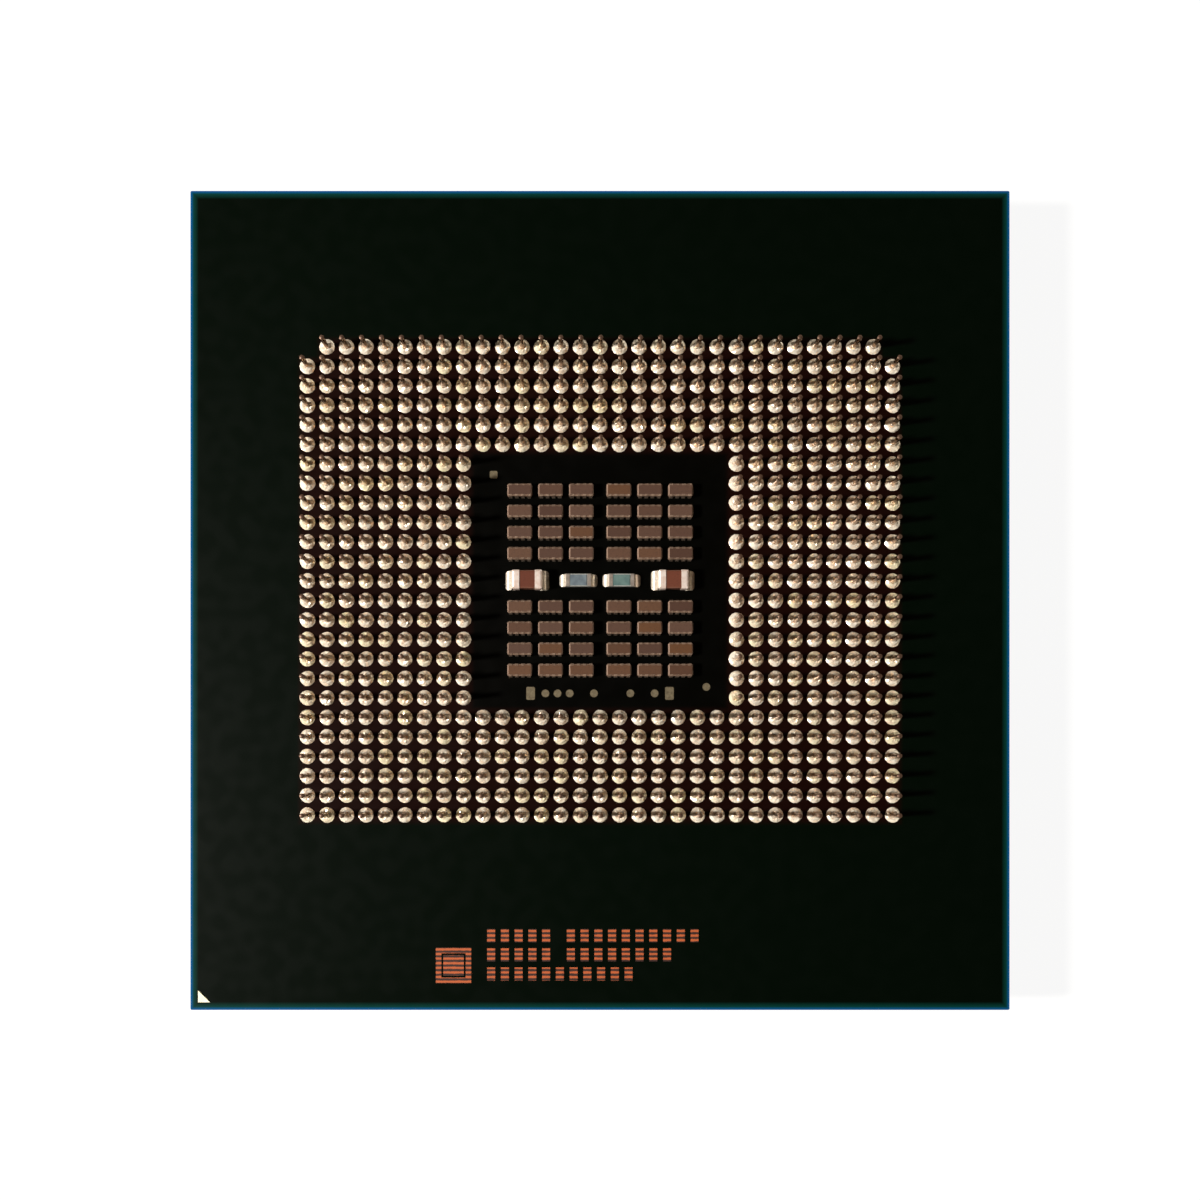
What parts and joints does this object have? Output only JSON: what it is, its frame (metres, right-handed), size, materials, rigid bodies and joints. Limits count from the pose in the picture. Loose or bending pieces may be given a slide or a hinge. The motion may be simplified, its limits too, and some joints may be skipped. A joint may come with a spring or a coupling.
{
  "type": "pin grid processor package",
  "caption": "Square processor package lying on its heat spreader, with a grid of soldered pins round a well of small capacitors and resistors.",
  "frame": {"origin": "centre of the board's outline, on the heat spreader's flat face", "axes": "+Z out of the pin side, along the pins; +Y towards the grid's edge that has no corner pins"},
  "size_m": [0.0534, 0.0534, 0.0063],
  "materials": {
    "laminate": "dark green solder resist over a glass laminate, satin",
    "nickel_plate": "nickel plate on copper, satin",
    "sealant": "black silicone, matt",
    "silicon": "ground silicon, satin",
    "interface_metal": "soft solder metal, satin",
    "underfill_resin": "filled epoxy resin, satin",
    "pin_gold": "gold plate, bright",
    "pin_solder": "tin-rich solder on gold, bright",
    "brown_ceramic": "fired brown ceramic, matt",
    "tinned_terminal": "tin plate, satin",
    "chip_solder": "solder, bright",
    "red_brown_ceramic": "fired red-brown ceramic, satin",
    "alumina": "white alumina, matt",
    "resistor_glass": "grey-blue glass coat, satin",
    "land_gold": "gold plate, satin"
  },
  "bodies": {
    "root": {"substrate": "laminate", "heat_spreader": "nickel_plate", "spreader_sealant": "sealant", "processor_die": "silicon", "thermal_interface": "interface_metal", "die_underfill": "underfill_resin", "pins_north": "pin_gold", "pins_south": "pin_gold", "pins_east": "pin_gold", "pins_west": "pin_gold", "pin_solder_north": "pin_solder", "pin_solder_south": "pin_solder", "pin_solder_east": "pin_solder", "pin_solder_west": "pin_solder", "capacitor_bodies_row_1": "brown_ceramic", "capacitor_bodies_row_2": "brown_ceramic", "capacitor_bodies_row_3": "brown_ceramic", "capacitor_bodies_row_4": "brown_ceramic", "capacitor_bodies_row_5": "brown_ceramic", "capacitor_bodies_row_6": "brown_ceramic", "capacitor_bodies_row_7": "brown_ceramic", "capacitor_bodies_row_8": "brown_ceramic", "capacitor_terminals_row_1": "tinned_terminal", "capacitor_terminals_row_2": "tinned_terminal", "capacitor_terminals_row_3": "tinned_terminal", "capacitor_terminals_row_4": "tinned_terminal", "capacitor_terminals_row_5": "tinned_terminal", "capacitor_terminals_row_6": "tinned_terminal", "capacitor_terminals_row_7": "tinned_terminal", "capacitor_terminals_row_8": "tinned_terminal", "capacitor_solder_row_1": "chip_solder", "capacitor_solder_row_2": "chip_solder", "capacitor_solder_row_3": "chip_solder", "capacitor_solder_row_4": "chip_solder", "capacitor_solder_row_5": "chip_solder", "capacitor_solder_row_6": "chip_solder", "capacitor_solder_row_7": "chip_solder", "capacitor_solder_row_8": "chip_solder", "bulk_capacitor_body_left": "red_brown_ceramic", "bulk_capacitor_end_caps_left": "tinned_terminal", "resistor_base_left": "alumina", "resistor_coat_left": "resistor_glass", "resistor_terminals_left": "tinned_terminal", "bulk_capacitor_body_right": "red_brown_ceramic", "bulk_capacitor_end_caps_right": "tinned_terminal", "resistor_base_right": "alumina", "resistor_coat_right": "resistor_glass", "resistor_terminals_right": "tinned_terminal", "bulk_capacitor_solder": "chip_solder", "resistor_solder": "chip_solder", "test_lands": "land_gold", "pin_one_mark": "land_gold"}
  },
  "joints": []
}
